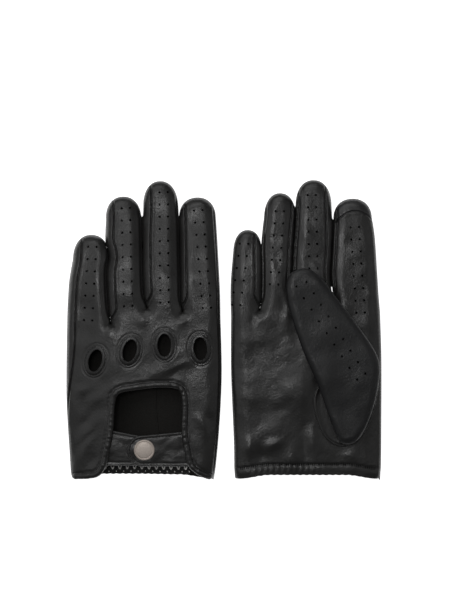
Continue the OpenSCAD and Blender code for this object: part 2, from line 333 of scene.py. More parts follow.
def hem_line(g):
    """The palm's hem from the index finger's corner to the little finger's, drawn up by its elastic."""
    right, left = INDEX_SIDE[g][-1], LITTLE_SIDE[g][0]
    x = np.linspace(right[0], left[0], 90)
    rise, run = 3.0, 24.0
    lift = rise * smooth_step((x - left[0]) / run) * smooth_step((right[0] - x) / run)
    gather = 0.25 * np.sin(x * 1.35) * lift / rise
    return np.stack([x, HEM + lift + gather], 1)


def seam_lines(g, side, rim):
    """The seams beside the fingers: (line, closed region between it and the outline, piece it borders)."""
    parts = dict(outline_parts(g))
    seams = []
    for i in range(4):
        arc = parts[f"tip{i}"]
        along = unit(np.array(FINGERS[g][i][1], float) - np.array(FINGERS[g][i][0], float))
        for high in (False, True):
            inset = MARGINS[side][i][high]
            if inset == 0:
                continue
            edge = parts[f"high{i}"][::-1] if high else parts[f"low{i}"]
            outer = (high and i == INDEX) or (not high and i == LITTLE)
            if outer:
                hand = parts["index_side"][::-1] if high else parts["little_side"]
                edge = np.concatenate([hand, edge[1:]])
            start, fade = (34, 70) if outer and inset > 3 else (0, 11)
            away = inset * smooth_step((run_of(edge) - start) / fade)
            line = edge + (1 if high else -1) * normals_of(edge) * away[:, None]
            first = max(np.argmax(away > 0.12) - 1, 0)
            line = line[first:]
            reach = line[-1] + along * np.linspace(0.5, 30, 60)[:, None]
            line = np.concatenate([line, reach[inside(reach, arc)]])
            spot = np.argmin(np.linalg.norm(arc - line[-1], axis=1))
            tip_rim = arc[spot:][::-1] if high else arc[:spot + 1]
            border = np.concatenate([edge[first:], tip_rim])
            line = even(np.concatenate([edge[first:first + 1], line[1:], arc[spot:spot + 1]]), 1.0)
            line[0] = snapped(line[0], rim)
            line[-1] = snapped(line[-1], rim)
            fork = i if high else i - 1
            name = FORKS[fork] if 0 <= fork <= 2 else "palm_panel"
            seams.append((line, np.concatenate([border, line[::-1]]), name))
    return seams


def snapped(point, rim):
    return rim[np.argmin(np.linalg.norm(rim - point, axis=1))]


def perforations(g, side):
    """Middles of the small round holes in the fingers."""
    spots = []
    hidden = 0 if UPPER[g] == side else HOLE_ROW / 2
    for finger, (rows, first, shift, drift) in zip(FINGERS[g], HOLES[side]):
        base, tip = np.array(finger[0], float), np.array(finger[1], float)
        along = unit(tip - base)
        for row in range(rows):
            down = tip + along * (finger[3] - first - hidden - row * HOLE_ROW)
            for column in (-1, 1):
                spots.append(down - left_of(along) * (shift + row * drift + column * HOLE_COLUMN))
    return np.array(spots)


# ---------------------------------------------------------------- heights of a glove's two sides

UPPER = {LEFT: "back", RIGHT: "palm"}
# Heights: the lowest leather above the table, a flat glove's top, how far the left hand's two sides rise over
# its thumb, and how far its upper side slopes down again towards the little finger
TABLE_GAP, FLAT_TOP = 0.15, 10.1
LOWER_RISE, UPPER_RISE, SLOPE = 7.2, 7.6, 5.4
# Between these places along the left hand its rise fades
RISE_END, RISE_GONE = 28, 92
# Where the two sides meet, as a share of the thickness, and how far their round edges reach inwards
EDGE_SHARE = 0.44
FINGER_ROUND, HAND_ROUND = 8.5, 12
# Soft creases of the side that faces up: two ends, width, height
CREASES = {
    LEFT: [
        ((-48, -31), (-26, -23), 2.6, 0.75), ((-58, -34), (-30, -16), 3.4, 0.6),
        ((-40, -25), (-33, -35), 4.0, -0.5), ((-19, -60), (-12, -75), 4.0, 0.8),
        ((-13, -58), (-8, -70), 4.0, -0.5), ((-101, -58), (-83, -42), 5.0, 0.7),
        ((-109, -97), (-90, -75), 4.0, 0.9), ((-100, -100), (-88, -88), 3.5, -0.7),
        ((-107, -48), (-91, -37), 4.2, 0.7), ((-109, -84), (-92, -64), 4.0, 0.6),
        ((-105, -72), (-93, -56), 3.6, -0.5), ((-84, -6), (-80, 4), 2.2, 0.6), ((-62, 3), (-56, 9), 3.0, 0.5),
        ((-33, 3), (-26, 8), 3.0, 0.5), ((-68, 40), (-66, 10), 3.5, 0.35), ((-46, 60), (-41, 78), 3.0, 0.35),
        ((-45, 44), (-44, 36), 3.0, 0.4),
        ((-22, 62), (-24, 48), 3.5, 0.35), ((-24, 38), (-14, 30), 3.0, -0.35),
    ],
    RIGHT: [
        ((50, -32), (56, -62), 14.0, 1.4), ((20, -10), (25, -30), 11.0, -0.8),
        ((46, -30), (52, -48), 9.0, 0.5), ((34, -57), (50, -56), 6.0, -0.6),
        ((34, -78), (37, -86), 5.5, 0.9), ((17, -76), (18, -92), 4.0, 0.8), ((26, -84), (30, -96), 4.0, -0.7),
        ((64, -66), (65, -92), 4.0, 0.9), ((57, -70), (58, -95), 4.0, -0.5), ((46, -88), (52, -98), 4.5, 0.6),
        ((44, 16), (46, 4), 3.0, 0.7), ((49, 6), (52, -12), 4.5, -0.8), ((40, 26), (43, 12), 2.6, -0.5),
        ((20, 12), (22, 4), 2.4, -0.6), ((8, 40), (12, 20), 2.6, -0.4), ((62, 48), (68, 44), 2.2, 0.4),
        ((92, 58), (101, 50), 4.0, 0.4), ((104, 36), (108, 22), 4.0, 0.45), ((98, 8), (108, -2), 4.0, 0.5),
        ((60, 74), (58, 60), 4.0, 0.4), ((84, -86), (98, -94), 4.0, 0.5), ((36, 54), (42, 44), 3.6, -0.35),
    ],
}


def height_levels(g, p):
    """Heights of the two sides where the glove is at its fullest: (lower, upper)."""
    if g == RIGHT:
        return np.full(len(p), TABLE_GAP), np.full(len(p), FLAT_TOP)
    lift = 1 - smooth_step((p[:, 1] - RISE_END) / (RISE_GONE - RISE_END))
    thumb = curve(THUMB[LEFT], 3, closed=True)
    off = np.where(inside(p, thumb), 0, distance(p, loop_of(thumb)))
    lower = TABLE_GAP + LOWER_RISE * lift * (1 - smooth_step((off - 2) / 34))
    upper = FLAT_TOP + UPPER_RISE * lift - SLOPE * lift * smooth_step((-76 - p[:, 0]) / 34)
    return lower, upper


def lay_out(border, lines, loops, rings, step, up):
    """A flat triangle mesh inside a border: fixed lines across it, openings, and rings of extra points.

    rings holds (points, least distance from other points); faces are turned to face up or down.
    """
    fixed, edges = [], []

    def add_loop(loop):
        start = sum(len(f) for f in fixed)
        fixed.append(loop)
        edges.extend((start + k, start + (k + 1) % len(loop)) for k in range(len(loop)))

    add_loop(border)
    for line in lines:
        start = sum(len(f) for f in fixed)
        fixed.append(line[1:-1])
        first, last = [int(np.argmin(np.linalg.norm(border - end, axis=1))) for end in (line[0], line[-1])]
        chain = [first] + list(range(start, start + len(line) - 2)) + [last]
        edges.extend(zip(chain[:-1], chain[1:]))
    for loop in loops:
        add_loop(loop)
    low, high = border.min(0), border.max(0)
    across = np.arange(low[0], high[0] + step, step)
    row_height = 0.866 * step
    grid = [np.stack([across + (k % 2) * step / 2, np.full(len(across), y)], 1)
            for k, y in enumerate(np.arange(low[1], high[1], row_height))]
    kept = [np.concatenate(fixed)]
    for group, gap in rings + [(np.concatenate(grid), 0.62 * step)]:
        group = group[inside(group, border)]
        tree = tree_of(np.concatenate(kept))
        far = [tree.find((x, y, 0))[2] > gap for x, y in group]
        kept.append(group[np.array(far, bool)])
    made = geometry.delaunay_2d_cdt([Vector(p) for p in np.concatenate(kept)], edges, [], 0, 1e-5)
    flat = np.array([v[:] for v in made[0]])
    faces = np.array([f[:] for f in made[2]])
    middle = flat[faces].mean(1)
    keep = inside(middle, border)
    widest_opening = 12
    for loop in loops:
        near = np.linalg.norm(middle - loop.mean(0), axis=1) < widest_opening
        near[near] = inside(middle[near], loop)
        keep &= ~near
    faces = faces[keep]
    a, b, c = flat[faces[:, 0]], flat[faces[:, 1]], flat[faces[:, 2]]
    turn = (b - a)[:, 0] * (c - a)[:, 1] - (b - a)[:, 1] * (c - a)[:, 0]
    wrong = turn * up < 0
    faces[wrong] = faces[wrong][:, ::-1]
    return flat, faces[np.abs(turn) > 1e-6]


def edge_rings(border):
    """Points a little inside a clockwise border, where its surface curves most."""
    rings = []
    for deep in (0.14, 0.5, 1.1, 1.9, 2.9):
        ring = border - normals_of(border) * deep
        rings.append((ring[distance(ring, border) > 0.9 * deep], 0.11 if deep < 0.3 else 0.45))
    return rings


def beside(line):
    """Points along both sides of a seam."""
    return [(line + sign * normals_of(line) * off, 0.4) for off in (0.42, 0.95) for sign in (-1, 1)]


def crease(p, a, b, wide):
    """A soft ridge from a to b that fades out at both ends."""
    length = np.linalg.norm(b - a)
    along = (b - a) / length
    at = (p - a) @ along / length
    across = (p - a) @ left_of(along)
    return ridge(across, 0, wide) * ridge(at, 0.5, 0.42)


class Side:
    """One side of a glove, laid out flat and then given its heights."""

    def __init__(self, g, side, rim):
        self.g, self.side, self.rim = g, side, rim
        self.up = 1 if UPPER[g] == side else -1
        self.grid = 1.25 if self.up > 0 else 1.9
        self.opening = curve(BINDING[g], 1.0) if side == "back" else hem_line(g)[::-1]
        self.opening = even(self.opening, 1.0)
        self.border = np.concatenate([rim, self.opening[::-1]])
        self.seams = seam_lines(g, side, rim)
        self.dots = perforations(g, side)
        self.knuckles = []
        if side == "back":
            self.knuckles = [((x, y), lean) for x, y, lean in KNUCKLES[g]]
        self.tip_seam = self.find_tip_seam() if side == "palm" else None

    def find_tip_seam(self):
        """The curved seam across the index finger below the touch-screen tip."""
        (x, y), (wide, high) = TOUCH_ARC[self.g]
        a = np.radians(np.linspace(180, 0, 181))
        arc = np.stack([x + wide * np.cos(a), y + high * np.sin(a)], 1)
        tip, half = FINGERS[self.g][INDEX][1:3]
        on_finger = np.abs(arc[:, 0] - tip[0]) < half + 0.6
        arc = even(arc[inside(arc, self.border) & on_finger], 0.8)
        arc[0], arc[-1] = snapped(arc[0], self.rim), snapped(arc[-1], self.rim)
        return arc

    def lines(self):
        found = [line for line, _, _ in self.seams]
        return found + ([self.tip_seam] if self.tip_seam is not None else [])

    def mesh(self):
        """Flat points and triangles, without what lies outside the border or in an opening."""
        loops = [ellipse(middle, KNUCKLE_HALF, lean, 48) for middle, lean in self.knuckles]
        loops += [hole(dot) for dot in self.dots]
        rings = []
        for line in self.lines():
            rings += beside(line)
        for middle, lean in self.knuckles:
            for grow in (0.35, 0.8, 1.4, 1.75, 2.1, 2.45, 2.95, 3.45, 3.8, 4.15, 4.8, 5.8):
                rings.append((ellipse(middle, KNUCKLE_HALF, lean, 56, grow), 0.45))
        for dot in self.dots:
            rings.append((ellipse(dot, (HOLE_R, HOLE_R), 18, 10, 0.4), 0.3))
        rings += edge_rings(self.rim)
        return lay_out(self.border, self.lines(), loops, rings, self.grid, self.up)

    def piece_names(self, flat, faces):
        middle = flat[faces].mean(1)
        names = np.full(len(faces), f"{self.side}_panel", dtype=object)
        if self.tip_seam is not None:
            (x, y), (wide, high) = TOUCH_ARC[self.g]
            above = ((middle[:, 0] - x) / wide) ** 2 + ((middle[:, 1] - y) / high) ** 2 > 1
            _, tip, half, _ = FINGERS[self.g][INDEX]
            names[above & (middle[:, 1] > y) & (np.abs(middle[:, 0] - tip[0]) < half + 2)] = "touch_tip"
        for _, region, name in self.seams:
            names[inside(middle, region)] = name
        return names

    def heights(self, p):
        """Heights of flat points on the outside of this side."""
        lower, upper = height_levels(self.g, p)
        edge = lower + EDGE_SHARE * (upper - lower)
        full = upper if self.up > 0 else lower
        from_rim = distance(p, self.rim)
        round_r = FINGER_ROUND + (HAND_ROUND - FINGER_ROUND) * smooth_step((10 - p[:, 1]) / 30)
        relief = self.relief(p) * smooth_step(from_rim / 5)
        relief += self.seam_relief(p, from_rim)
        return edge + (full - edge) * rounded(from_rim, round_r) + self.up * relief

    def relief(self, p):
        """Creases and unevenness of soft leather."""
        seed = {LEFT: 11.3, RIGHT: 47.9}[self.g] + (5.1 if self.side == "back" else 0)
        bumps = 0.62 * ripple(p, 24, seed) + 0.3 * ripple(p, 11, seed + 3) + 0.07 * ripple(p, 4.5, seed + 6)
        if self.up < 0:
            return 0.3 * bumps - 0.1
        bent = p + 2.2 * np.stack([ripple(p, 14, seed + 20), ripple(p, 14, seed + 30)], 1)
        for a, b, wide, high in CREASES[self.g]:
            bumps += high * crease(bent, np.array(a, float), np.array(b, float), wide)
        if self.side == "palm":
            leaf = curve(GUSSET[self.g], 3, closed=True)
            clear = smooth_step(np.where(inside(p, leaf), 0, distance(p, loop_of(leaf))) / 7)
            bumps = bumps * clear - 0.3 * (1 - clear)
        lift = np.zeros(len(p))
        for middle, lean in self.knuckles:
            ring = ellipse(middle, KNUCKLE_HALF, lean, 64)
            off = distance(p, loop_of(ring))
            lift += 0.6 * ridge(off, 0, 2.8)
            for grow in KNUCKLE_RINGS:
                lift -= 0.62 * ridge(off, grow, 0.36)
        if self.side == "back":
            lift -= 0.75 * ridge(distance(p, self.opening), BINDING_SEAM, 0.5)
        else:
            lift += self.hem_relief(p)
        return bumps + lift

    def hem_relief(self, p):
        """The folded hem, drawn into puckers by its elastic thread."""
        up = p[:, 1] - np.interp(p[:, 0], self.opening[:, 0], self.opening[:, 1])
        middle = ridge(p[:, 0], self.opening[:, 0].mean() - 18, 26)
        pucker = 0.26 * np.sin(p[:, 0] * 1.5 + 0.8 * np.sin(p[:, 1] * 0.9)) * middle
        return pucker * ridge(up, 4.5, 3.6) - 0.85 * ridge(up, HEM_SEAM, 0.6) + 0.3 * ridge(up, 4, 3)

    def seam_relief(self, p, from_rim):
        """Grooves where pieces meet, and the roll of the narrow strips between seam and edge."""
        made = np.zeros(len(p))
        fade = smooth_step(from_rim / 1.2)
        for line, region, _ in self.seams:
            off = distance(p, line)
            made += fade * (0.4 * ridge(off, 1.0, 0.5) - ridge(off, 0, 0.42))
            wide = np.maximum(off + from_rim, 0.5)
            rolled = inside(p, region) & (wide > 2.4)
            made += np.where(rolled, 0.85 * np.sin(math.pi * np.clip(off / wide, 0, 1)), 0)
        if self.tip_seam is not None:
            off = distance(p, self.tip_seam)
            made += fade * (0.2 * ridge(off, 0.95, 0.5) - 0.75 * ridge(off, 0, 0.4))
            made -= fade * 0.3 * ridge(distance(p, self.tip_seam - np.array([0, 1.9])), 0, 0.4)
        return made


# ---------------------------------------------------------------- meshes

def add_mesh(name, points, faces, materials, face_slots=None, smooth=True):
    """A mesh object from points in millimetres."""
    mesh = bpy.data.meshes.new(name)
    corners = [tuple(p) for p in np.asarray(points) * MM]
    mesh.from_pydata(corners, [], [tuple(int(k) for k in f) for f in faces])
    for material in materials:
        mesh.materials.append(material)
    if face_slots is not None:
        mesh.polygons.foreach_set("material_index", np.asarray(face_slots, np.int32))
    mesh.polygons.foreach_set("use_smooth", np.full(len(mesh.polygons), smooth))
    mesh.update()
    obj = bpy.data.objects.new(name, mesh)
    bpy.context.scene.collection.objects.link(obj)
    return obj


def point_normals(points, faces):
    a, b, c = points[faces[:, 0]], points[faces[:, 1]], points[faces[:, 2]]
    cross = np.cross(b - a, c - a)
    total = np.zeros_like(points)
    for k in range(3):
        np.add.at(total, faces[:, k], cross)
    return total / np.maximum(np.linalg.norm(total, axis=1), 1e-12)[:, None]


def add_shell(name, points, faces, normals, thick, materials):
    """A piece of leather: its outside faces, an inside at the given thickness, and its cut edges."""
    used, inverse = np.unique(faces, return_inverse=True)
    faces = inverse.reshape(faces.shape)
    outer, n = points[used], normals[used]
    inner = outer - n * thick
    count = len(used)
    sides = np.concatenate([faces[:, [0, 1]], faces[:, [1, 2]], faces[:, [2, 0]]])
    known = {(a, b) for a, b in sides}
    free = np.array([(a, b) for a, b in sides if (b, a) not in known])
    quads = [(b, a, a + count, b + count) for a, b in free]
    all_faces = [tuple(f) for f in faces] + [(c + count, b + count, a + count) for a, b, c in faces] + quads
    slots = [0] * len(faces) + [1] * len(faces) + [0] * len(quads)
    made = np.concatenate([outer, inner])
    obj = add_mesh(name, made, all_faces, materials, slots)
    loop_normals = []
    for f in faces:
        loop_normals += [tuple(n[k]) for k in f]
    for a, b, c in faces:
        loop_normals += [tuple(-n[c]), tuple(-n[b]), tuple(-n[a])]
    for q in quads:
        corner = [made[k] for k in q]
        flat = np.cross(corner[1] - corner[0], corner[3] - corner[0])
        flat = flat / max(np.linalg.norm(flat), 1e-12)
        loop_normals += [tuple(flat)] * 4
    obj.data.normals_split_custom_set(loop_normals)
    return obj


def ring_faces(rings, count, closed=False):
    """Faces between neighbouring rings of count points each; closed joins the last ring to the first."""
    faces = []
    for i in range(rings if closed else rings - 1):
        after = (i + 1) % rings
        for k in range(count):
            j = (k + 1) % count
            faces.append((i * count + k, i * count + j, after * count + j, after * count + k))
    return faces


def tree_of(points):
    """A search tree over plane points."""
    tree = kdtree.KDTree(len(points))
    for k, (x, y) in enumerate(points):
        tree.insert((x, y, 0), k)
    tree.balance()
    return tree


def joined(rim, rim_z, sides):
    """One mesh of two sides that share their rim, all above the table; a side is (points, faces, heights)."""
    points, faces = [np.column_stack([rim, rim_z])], []
    on_rim = {tuple(np.round(p, 3)): k for k, p in enumerate(rim)}
    total = len(rim)
    for flat, tris, height in sides:
        place = np.array([on_rim.get(tuple(np.round(p, 3)), -1) for p in flat])
        new = place < 0
        place[new] = total + np.arange(new.sum())
        total += new.sum()
        points.append(np.column_stack([flat[new], height(flat[new])]))
        faces.append(place[tris])
    points = np.concatenate(points)
    points[:, 2] = np.maximum(points[:, 2], 0.02)
    return points, faces


def swell(points, rim):
    """The leather rolls a little past the flat outline where the two sides meet."""
    tree = tree_of(rim)
    out = normals_of(rim)
    roll, reach = 0.3, 3
    for point in points:
        _, k, away = tree.find((point[0], point[1], 0))
        if away < reach:
            above_hem = smooth_step((point[1] + 106) / 8)
            point[:2] += out[k] * roll * (1 - away / reach) * above_hem


def close_gaps(g, points, rim):
    """Neighbouring fingers press against each other, so their sides swell over the gap between them."""
    for web, notch in zip(WEBS[g], NOTCHES[g]):
        line = curve(web + notch, 1)
        top = notch[-1][1]
        near = np.abs(points[:, 0] - np.interp(points[:, 1], line[:, 1], line[:, 0])) < 5
        near &= (points[:, 1] > web[0][1] - 0.5) & (points[:, 1] < top)
        x, y = points[near, 0], points[near, 1]
        away = np.interp(y, line[:, 1], line[:, 0]) - x
        inward = np.where(inside(points[near, :2], rim), distance(points[near, :2], rim), 0)
        gap = np.clip(np.abs(away) - inward, 0, 3.4)
        overlap = 0.38
        reach = smooth_step((y - web[0][1] + 0.5) / 2) * smooth_step((top - y) / 3)
        points[near, 0] += np.sign(away) * (gap + overlap) * reach * np.clip(1 - inward / 3, 0, 1)


def add_glove(g):
    """The back, the palm, the strips between the fingers and the touch-screen tip, as separate pieces."""
    rim = even(walls(g), 0.9)
    sides = {side: Side(g, side, rim) for side in ("back", "palm")}
    flats = {name: side.mesh() for name, side in sides.items()}
    layers = [(*flats[name], side.heights) for name, side in sides.items()]
    points, faces = joined(rim, sides["back"].heights(rim), layers)
    names = np.concatenate([side.piece_names(*flats[name]) for name, side in sides.items()])
    faces = np.concatenate(faces)
    swell(points, rim)
    close_gaps(g, points, rim)
    normals = point_normals(points, faces)
    for name in ("back_panel", "palm_panel", "touch_tip") + FORKS:
        kind = "touch_leather" if name == "touch_tip" else "nappa_leather"
        obj = add_shell(f"{g}_{name}_skin", points, faces[names == name], normals, LEATHER_T,
                        [materials[kind], materials["lining"]])
        belongs(obj, f"{g}_hand", kind, f"{g}_{name}")
    return sides


def belongs(obj, body, slot, *nodes):
    """What a piece rides on and which solids it stands for; the slot argument is not used."""
    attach(obj, body)
    if nodes:
        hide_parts(*nodes)


# ---------------------------------------------------------------- materials

def new_material(name, **values):
    material = bpy.data.materials.new(name)
    material.use_nodes = True
    shader = material.node_tree.nodes["Principled BSDF"]
    for key, value in values.items():
        shader.inputs[key.replace("_", " ")].default_value = value
    return material, material.node_tree, shader


def node(tree, kind, **values):
    made = tree.nodes.new(kind)
    for key, value in values.items():
        if key in made.inputs:
            made.inputs[key].default_value = value
        else:
            setattr(made, key, value)
    return made


def ramp(tree, source, low, high, at=(0.3, 0.7)):
    """A colour ramp between two colours, driven by a node's output."""
    made = tree.nodes.new("ShaderNodeValToRGB")
    made.color_ramp.elements[0].position, made.color_ramp.elements[1].position = at
    made.color_ramp.elements[0].color = low
    made.color_ramp.elements[1].color = high
    tree.links.new(source, made.inputs["Fac"])
    return made.outputs["Color"]


def texture(tree, kind="ShaderNodeTexNoise", **values):
    """A texture in the object's own coordinates."""
    made = node(tree, kind, **values)
    place = node(tree, "ShaderNodeTexCoord")
    tree.links.new(place.outputs["Object"], made.inputs["Vector"])
    return made


def roughen(tree, shader, height, strength, depth):
    """Fine bumps from a node's output; depth is in millimetres."""
    bump = node(tree, "ShaderNodeBump", Strength=strength, Distance=depth * MM)
    tree.links.new(height, bump.inputs["Height"])
    tree.links.new(bump.outputs["Normal"], shader.inputs["Normal"])


def grained(name, dark, light, scale, detail, bumps, **values):
    """A material whose colour and bumps, given as (strength, depth), follow one fine noise."""
    material, tree, shader = new_material(name, **values)
    grain = texture(tree, Scale=scale, Detail=detail).outputs["Fac"]
    tree.links.new(ramp(tree, grain, dark, light), shader.inputs["Base Color"])
    roughen(tree, shader, grain, *bumps)
    return material


def leather(name, dark, light, rough, grain=0.13, grain_size=1.5, shine=0.5):
    """Dressed glove leather: fine pebbled grain, with slight changes of colour and polish."""
    material, tree, shader = new_material(name, Roughness=rough, Specular_IOR_Level=shine)
    cells = texture(tree, "ShaderNodeTexVoronoi", Scale=1000 / grain_size, feature="SMOOTH_F1")
    fine = texture(tree, Scale=900.0, Detail=3.0)
    broad = texture(tree, Scale=70.0, Detail=4.0).outputs["Fac"]
    tree.links.new(ramp(tree, broad, dark, light), shader.inputs["Base Color"])
    low, high = (rough - 0.06,) * 3 + (1,), (rough + 0.08,) * 3 + (1,)
    tree.links.new(ramp(tree, broad, high, low, (0.35, 0.65)), shader.inputs["Roughness"])
    mixed = node(tree, "ShaderNodeMath", operation="ADD")
    tree.links.new(cells.outputs["Distance"], mixed.inputs[0])
    tree.links.new(fine.outputs["Fac"], mixed.inputs[1])
    roughen(tree, shader, mixed.outputs[0], 0.55, grain)
    return material


def suede(name):
    """The napped inside of the leather."""
    return grained(name, (0.013, 0.0125, 0.0115, 1), (0.021, 0.02, 0.0185, 1), 1400.0, 4.0, (0.5, 0.1),
                   Roughness=0.95, Specular_IOR_Level=0.15)


def thread(name, dark, light, shine=0.4):
    """Twisted sewing thread or woven elastic."""
    return grained(name, dark, light, 2600.0, 2.0, (0.4, 0.08), Roughness=0.7, Specular_IOR_Level=shine)


def pewter(name):
    """Matt brushed metal with a warm tint."""
    return grained(name, (0.50, 0.435, 0.385, 1), (0.62, 0.545, 0.49, 1), 1500.0, 4.0, (0.3, 0.03),
                   Metallic=0.35, Roughness=0.45)


materials = {
    "nappa_leather": leather("nappa leather", (0.011, 0.0108, 0.0104, 1), (0.016, 0.0157, 0.0152, 1), 0.35),
    # The thumb's leather is the nappa painted darker and less shiny: painted shade on the folded thumb, not a
    # different leather
    "thumb_leather_painted_shade": leather("thumb leather with painted shade", (0.0085, 0.0087, 0.0092, 1), (0.0125, 0.0128, 0.0135, 1),
                             0.4, shine=0.38),
    "touch_leather": leather("touch leather", (0.014, 0.014, 0.0148, 1), (0.02, 0.02, 0.021, 1),
                             0.36, 0.05, 1.1),
    "lining": suede("suede lining"),
    "thread": thread("black thread", (0.002, 0.002, 0.002, 1), (0.005, 0.005, 0.005, 1), 0.2),
    "pale_thread": thread("grey thread", (0.75, 0.74, 0.71, 1), (0.9, 0.89, 0.86, 1)),
    "elastic": thread("woven elastic", (0.006, 0.006, 0.006, 1), (0.012, 0.012, 0.012, 1)),
    "pewter": pewter("pewter"),
}

# ---------------------------------------------------------------- general pieces

def clockwise(loop):
    x, y = loop[:, 0], loop[:, 1]
    area = (x * np.roll(y, -1) - y * np.roll(x, -1)).sum()
    return loop if area < 0 else loop[::-1]


def outward(obj):
    """Turns a closed mesh's faces outwards."""
    shape = bmesh.new()
    shape.from_mesh(obj.data)
    bmesh.ops.recalc_face_normals(shape, faces=shape.faces)
    shape.to_mesh(obj.data)
    shape.free()
    return obj


def add_pad(name, border, middle_z, top, bottom, step, material_list, loops=(), thick=None):
    """A closed soft piece over one border; top and bottom give its heights from (points, depth)."""
    rim = clockwise(np.array(border))
    line = loop_of(rim)

    def heights(give):
        return lambda p: give(p, distance(p, line))

    layers = []
    for up, give, holes in ((1, top, list(loops)), (-1, bottom, [])):
        flat, tris = lay_out(rim, [], holes, edge_rings(line), step, up)
        layers.append((flat, tris, heights(give)))
    points, faces = joined(rim, middle_z(rim) if callable(middle_z) else np.full(len(rim), middle_z), layers)
    faces = np.concatenate(faces)
    if thick:
        return add_shell(name, points, faces, point_normals(points, faces), thick, material_list)
    return add_mesh(name, points, faces, material_list)


def tube_parts(path, wide, high, count):
    """Points and faces of a tube with rounded ends; wide and high are its half sizes at each path point."""
    ahead = np.gradient(path, axis=0)
    ahead /= np.linalg.norm(ahead, axis=1)[:, None]
    side = np.cross((0, 0, 1), ahead)
    side /= np.linalg.norm(side, axis=1)[:, None]
    over = np.cross(ahead, side)
    a = np.linspace(0, 2 * math.pi, count, endpoint=False)
    rings = path[:, None] + side[:, None] * (np.cos(a) * wide[:, None])[..., None]
    rings = rings + over[:, None] * (np.sin(a) * high[:, None])[..., None]
    points = np.concatenate([rings.reshape(-1, 3), path[:1], path[-1:]])
    n = len(path)
    faces = ring_faces(n, count)
    for k in range(count):
        j = (k + 1) % count
        faces.append((j, k, n * count))
        faces.append(((n - 1) * count + k, (n - 1) * count + j, n * count + 1))
    return points, faces


def add_tubes(name, parts, material):
    """One object from closed parts, each of them (points, faces)."""
    points, faces, start = [], [], 0
    for more, sides in parts:
        points.append(more)
        faces += [tuple(k + start for k in f) for f in sides]
        start += len(more)
    return outward(add_mesh(name, np.concatenate(points), faces, [material]))


# A stitch from end to end: place along its half length, thickness, height; the last two in radiuses
STITCH_SHAPE = np.array([
    (-1, 0.35, -0.7), (-0.72, 0.9, 0.1), (0, 1, 0.35), (0.72, 0.9, 0.1), (1, 0.35, -0.7),
])


def stitch_parts(path, length, gap, radius):
    """Short threads along a path, each one curving down into the leather at its ends."""
    run = run_of(path)
    count = max(1, int(run[-1] / (length + gap)))
    pitch = run[-1] / count
    parts = []
    for k in range(count):
        at = (k + 0.5) * pitch + STITCH_SHAPE[:, 0] * length / 2
        dash = np.stack([np.interp(at, run, path[:, j]) for j in range(3)], 1)
        dash[:, 2] += STITCH_SHAPE[:, 2] * radius
        parts.append(tube_parts(dash, STITCH_SHAPE[:, 1] * radius, STITCH_SHAPE[:, 1] * radius, 6))
    return parts


def add_lathe(name, middle, profile, material, count):
    """A round piece with a vertical axis from its (radius, height) profile."""
    a = np.linspace(0, 2 * math.pi, count, endpoint=False)
    points = [(middle[0] + r * math.cos(t), middle[1] + r * math.sin(t), z) for r, z in profile for t in a]
    faces = ring_faces(len(profile), count)
    faces.append(tuple(range(count)))
    faces.append(tuple((len(profile) - 1) * count + k for k in range(count)))
    return outward(add_mesh(name, points, faces, [material]))


# ---------------------------------------------------------------- the glove's other pieces

def side_path(side, line, above):
    """A flat line laid on a side of a glove, the given distance outside its leather."""
    return np.column_stack([line, side.heights(line) + side.up * above])


def add_facings(g, back):
    """Rings of leather behind the knuckle openings, which show as a turned lip inside each one."""
    section = [(-0.1, -0.25), (-0.45, -0.35), (-0.62, -0.7), (-0.45, -1.1), (-0.1, -1.35), (3.3, -1.35),
               (3.5, -1.1), (3.3, -0.84), (0.1, -0.84)]
    count = 60
    parts = []
    for middle, lean in back.knuckles:
        loops = [ellipse(middle, KNUCKLE_HALF, lean, count, grow) for grow, _ in section]
        rings = [side_path(back, loop, down) for loop, (_, down) in zip(loops, section)]
        parts.append((np.concatenate(rings), ring_faces(len(section), count, closed=True)))
    obj = add_tubes(f"{g}_facings_shaped", parts, materials["nappa_leather"])
    belongs(obj, f"{g}_hand", "nappa_leather", f"{g}_knuckle_facings")


def add_binding(g, back):
    """The rolled leather edge of the cut-out, with the small puckers of its turned strip."""
    step = 0.6
    line = curve(BINDING[g], step)
    rest = {LEFT: 0.25, RIGHT: -1.6}[g]
    line = line + normals_of(line) * BINDING_SHIFT
    path = side_path(back, line, rest)
    run = np.arange(len(line)) * step
    taper = np.sqrt(np.clip(np.minimum(run, run[::-1]) / 1.6, 0.02, 1))
    fold = np.array([noise.noise(Vector((r / 1.3, 0.5, 3.0))) + 0.6 * noise.noise(Vector((r / 3.1, 7.0, 1.0)))
                     for r in run])
    wide = (BINDING_HALF + 0.16 * fold) * taper
    high = (1.45 + 0.3 * fold) * taper
    obj = add_tubes(f"{g}_binding_rolled", [tube_parts(path, wide, high, 16)], materials["nappa_leather"])
    belongs(obj, f"{g}_hand", "nappa_leather", f"{g}_cutout_binding")


def add_seam_threads(g, back, palm):
    """Visible stitching on the hand: round the knuckle openings, along the binding and above the hem."""
    parts = []
    for middle, lean in back.knuckles:
        for grow in KNUCKLE_RINGS:
            loop = even(loop_of(ellipse(middle, KNUCKLE_HALF, lean, 72, grow)), 0.6)
            parts += stitch_parts(side_path(back, loop, 0.02), 1.5, 0.75, 0.2)
    line = curve(BINDING[g], 1.0)
    line = line + normals_of(line) * BINDING_SEAM
    line = line[inside(line, back.border)]
    parts += stitch_parts(side_path(back, line, 0.02), 1.5, 0.8, 0.2)
    hem = palm.opening[3:-3] + np.array([0, HEM_SEAM])
    if palm.up > 0:
        radius = np.array([0.22, 0.34, 0.22])
        for x, y in even(hem, 1.35):
            tick = np.array([(x, y - 0.8), (x, y), (x, y + 0.8)])
            parts.append(tube_parts(side_path(palm, tick, 0.25), radius, radius, 6))
    obj = add_tubes(f"{g}_hand_stitches", parts, materials["thread"])
    belongs(obj, f"{g}_hand", "thread")


